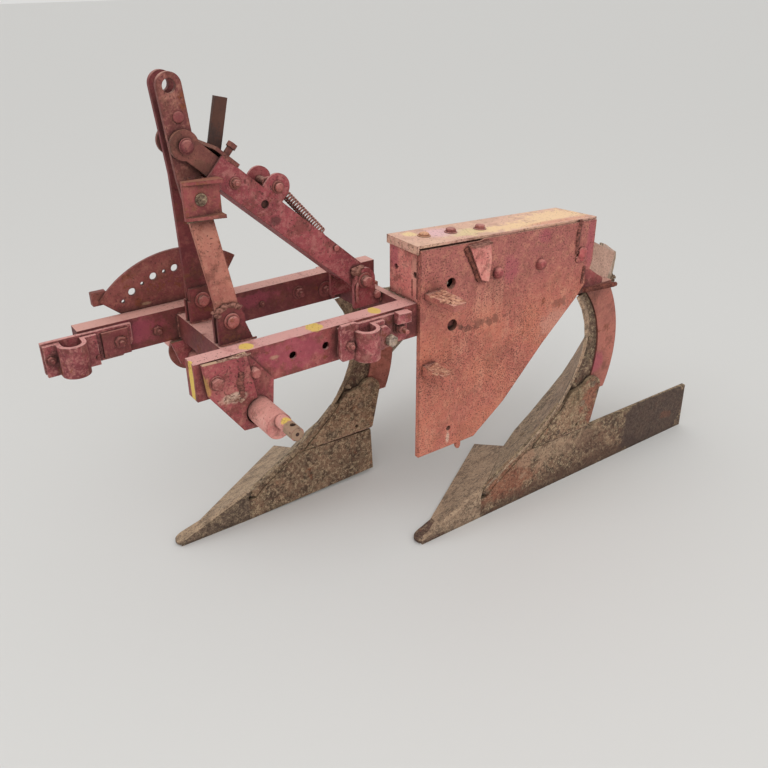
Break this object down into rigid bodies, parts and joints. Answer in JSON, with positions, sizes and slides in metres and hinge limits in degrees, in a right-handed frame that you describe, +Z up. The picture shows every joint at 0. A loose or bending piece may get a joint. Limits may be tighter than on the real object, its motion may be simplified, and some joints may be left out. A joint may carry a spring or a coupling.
{
  "type": "moldboard plough",
  "caption": "Mounted moldboard plough for a three-point linkage, with curved turning boards, a lidded box on its frame, an A-shaped mast held by a spring-latched strut, and a cross shaft",
  "frame": {"origin": "under the middle of the plough's box, on the ground it stands on", "axes": "+X is the travel direction, +Y the landside (left), +Z up"},
  "size_m": [1.8692, 0.9102, 1.172],
  "materials": {
    "pink_paint": "faded rusty paint",
    "dark_red_paint": "faded rusty paint",
    "rusted_paint": "rusted",
    "earth_rusted_steel": "rust and dried earth",
    "worn_steel": "dull",
    "lever_brown": "matt"
  },
  "bodies": {
    "frame": {"bar_left": "pink_paint", "bar_right": "pink_paint", "cross_front": "dark_red_paint", "cross_rear": "dark_red_paint", "body_beam": "dark_red_paint", "side_plate": "rusted_paint", "box_shell": "dark_red_paint", "box_lid": "pink_paint", "plate_pegs": "rusted_paint", "plate_strap": "pink_paint", "strut_lugs": "pink_paint", "strut_pin": "worn_steel", "mast_lugs": "pink_paint", "mast_pins": "worn_steel", "bracket_left_outer": "pink_paint", "bracket_left_inner": "pink_paint", "bracket_right": "dark_red_paint", "clamp_front_plate": "pink_paint", "clamp_front_strap": "pink_paint", "clamp_rear_plate": "pink_paint", "clamp_rear_strap": "pink_paint", "share_1": "earth_rusted_steel", "mouldboard_1": "earth_rusted_steel", "landside_1": "earth_rusted_steel", "frog_1": "earth_rusted_steel", "leg_1": "pink_paint", "brace_1": "earth_rusted_steel", "share_2": "earth_rusted_steel", "mouldboard_2": "earth_rusted_steel", "landside_2": "earth_rusted_steel", "frog_2": "earth_rusted_steel", "leg_2": "pink_paint", "brace_2": "earth_rusted_steel"},
    "mast": {"mast_left": "pink_paint", "mast_right": "dark_red_paint", "mast_bolts": "worn_steel", "mast_channel": "pink_paint"},
    "strut": {"strut_channel": "pink_paint", "strut_cross_pins": "worn_steel", "release_spring": "worn_steel", "latch_bracket": "rusted_paint", "release_lever": "lever_brown"},
    "link": {"strut_link": "rusted_paint"},
    "shaft": {"cross_shaft": "pink_paint", "sector_plate": "dark_red_paint"}
  },
  "joints": [
    {"name": "mast_tilt", "type": "hinge", "parent": "frame", "child": "mast", "pos_m": [0.60862, 0.13114, 0.706], "axis": [0, 1, 0], "range_deg": [0, 15]},
    {"name": "strut_swing", "type": "hinge", "parent": "frame", "child": "strut", "pos_m": [0.26762, 0.13114, 0.708], "axis": [0, 1, 0], "range_deg": [0, 7.6]},
    {"name": "link_slide", "type": "slide", "parent": "strut", "child": "link", "axis": [0.7449, 0, 0.6672], "range_m": [0, 0.0566]},
    {"name": "shaft_turn", "type": "hinge", "parent": "frame", "child": "shaft", "pos_m": [0.60762, 0.13114, 0.545], "axis": [0, 1, 0], "range_deg": [-16, 16]}
  ],
  "couplings": [
    {"joint": "strut_swing", "follows": "mast_tilt", "ratio": 0.49978},
    {"joint": "link_slide", "follows": "mast_tilt", "m_per_rad": 0.21466}
  ]
}
